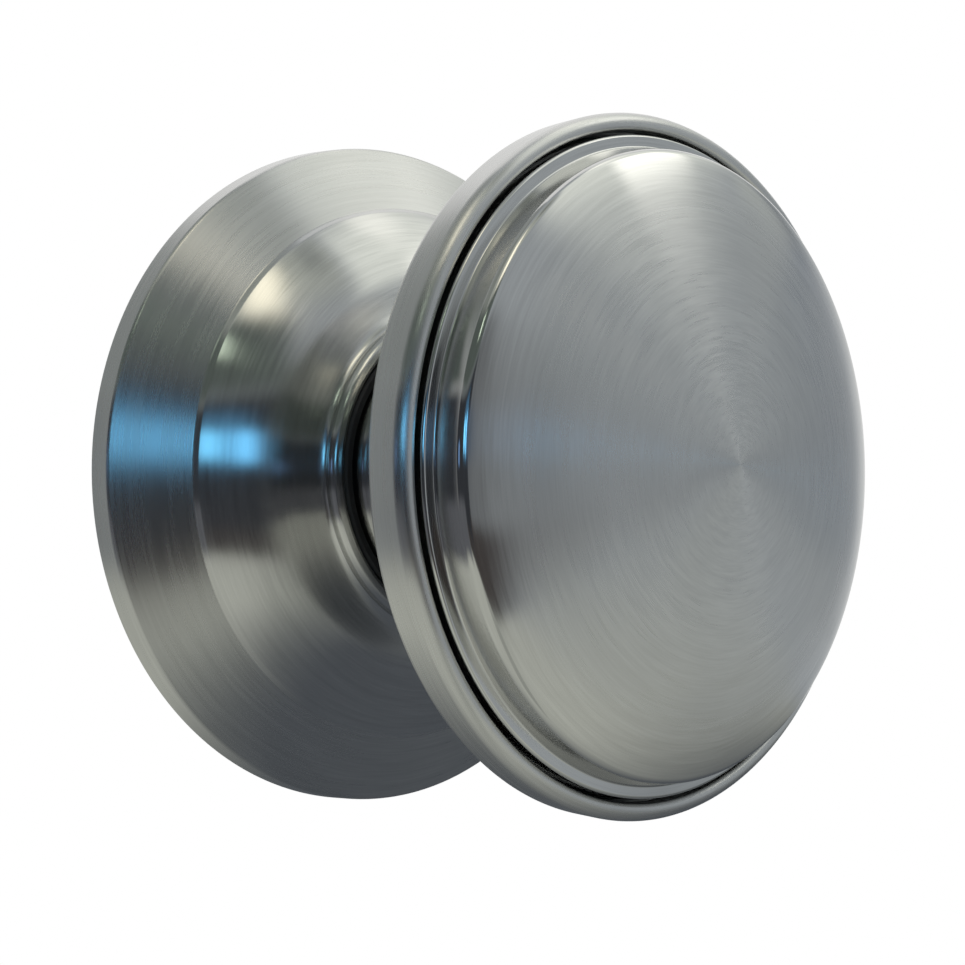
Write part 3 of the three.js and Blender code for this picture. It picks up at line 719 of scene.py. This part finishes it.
def make_floor():
    """A pale floor well below the object, and the soft shade that the object throws under itself, which is a
    sheet that only reflections see."""
    floor = flat_sheet("floor", 3.0, -0.4, glowing("floor_pale", (1.0, 1.0, 1.0)))
    floor.visible_glossy = False
    mat = glowing("soft_shade", SHADE["colour"])
    tree = mat.node_tree
    coordinates = tree.nodes.new("ShaderNodeTexCoord")
    split = tree.nodes.new("ShaderNodeSeparateXYZ")
    tree.links.new(coordinates.outputs["Object"], split.inputs[0])
    away = 0.0
    for value, middle, reach in zip(split.outputs, SHADE["middle"], SHADE["reach"]):
        share = math_node(tree, "DIVIDE", math_node(tree, "SUBTRACT", value, middle * MM), reach * MM)
        away = math_node(tree, "ADD", away, math_node(tree, "MULTIPLY", share, share))
    inside = ramp_between(tree, math_node(tree, "SQRT", away), SHADE["from"], SHADE["to"], 1.0, 0.0)
    clear = tree.nodes.new("ShaderNodeBsdfTransparent")
    mix = tree.nodes.new("ShaderNodeMixShader")
    tree.links.new(inside, mix.inputs[0])
    tree.links.new(clear.outputs[0], mix.inputs[1])
    tree.links.new(tree.nodes["Emission"].outputs[0], mix.inputs[2])
    tree.links.new(mix.outputs[0], tree.nodes["Material Output"].inputs[0])
    shade = flat_sheet("shade", 0.2, -0.0346, mat)
    shade.visible_camera = False


# ---- Build -------------------------------------------------------------------------

make_camera()
make_world()
make_floor()
bpy.context.scene.view_settings.view_transform = "Standard"

EVEN = ("radius", 10.0, 20.0)  # one roughness all over, with shallower marks near the axis
# By node, and by material slot for every other node.
FINISH = {
    "rose_cover": brushed_steel("rose_steel", 0.28, 0.18, ("radius", 26.55, 26.8)),
    # painted shade: the head's back and the shank, inside 27.5 mm, are darkened to 0.75 of the steel's colour
    "knob_shell": brushed_steel("shell_steel", 0.27, 0.2, ("radius", 27.5, 29.3), painted_shade_factor=0.75),
    "face_cap": brushed_steel("cap_steel", 0.29, 0.10, ("out", 40.6, 43.8), 0.92),
    "satin_steel": brushed_steel("satin_steel", 0.28, 0.28, EVEN),
    "drive_hub": brushed_steel("turned_zinc", 0.38, 0.38, EVEN, 0.6, colour=(0.58, 0.60, 0.62)),
    "brass": brushed_steel("turned_brass", 0.3, 0.3, EVEN, 0.6, colour=(0.74, 0.52, 0.22)),
    "zinc_plated": plain_finish(
        "zinc_plate", (0.50, 0.53, 0.60), (0.66, 0.66, 0.60), 0.36, 1.0, 0.0002, 0.008, 0.12),
    "plain_steel": plain_finish(
        "drawn_steel", (0.38, 0.38, 0.39), (0.50, 0.50, 0.49), 0.34, 1.0, 0.0001, 0.006, 0.3, (1, 30, 1)),
    "spring_steel": plain_finish(
        "blued_spring_steel", (0.16, 0.17, 0.20), (0.27, 0.26, 0.25), 0.3, 1.0, 0.0001, 0.003, 0.1),
    "black_nylon": plain_finish(
        "black_nylon", (0.02, 0.02, 0.022), (0.035, 0.035, 0.037), 0.5, 0.0, 0.0002, 0.004, 0.4),
    "pale_nylon": plain_finish(
        "pale_nylon", (0.66, 0.63, 0.54), (0.76, 0.74, 0.66), 0.5, 0.0, 0.0003, 0.006, 0.3),
}
SLOTS = {row["node"]: row["material_slot"] for row in frame["record"]["subparts"]}
BODIES = {node: body for body, nodes in frame["record"]["behaviour"]["bodies"].items() for node in nodes}


def finish_of(node):
    return FINISH.get(node, FINISH[SLOTS[node]])


# Finer meshes that take the place of a node's CAD mesh.
PIECES = {
    "rose_cover": lathe("rose_cover_fine", rose_outline()),
    "knob_shell": knob_shell(),
    "face_cap": lathe("face_cap_fine", cap_outline()),
    "neck_bush": neck_bush(),
    "fixing_plate": fixing_plate(),
    "through_bolt_upper": through_bolt(1),
    "through_bolt_lower": through_bolt(-1),
    "thrust_washer": lathe("thrust_washer_fine", flat_ring(*WASHERS["thrust"]), 144),
    "drive_hub": drive_hub(),
    "wave_washer": wave_washer(),
    "hub_circlip": hub_circlip(),
}
for node, piece in PIECES.items():
    piece.data.materials.append(finish_of(node))
    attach(piece, BODIES[node])
    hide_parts(node)

for node, obj in frame["nodes"].items():
    for holder in obj.material_slots:
        holder.material = finish_of(node)
    softened = obj.modifiers.new("soft_edges", "BEVEL")
    softened.width = SOFT_EDGE
    softened.segments = 2
    softened.limit_method = "ANGLE"
    softened.angle_limit = math.radians(40)
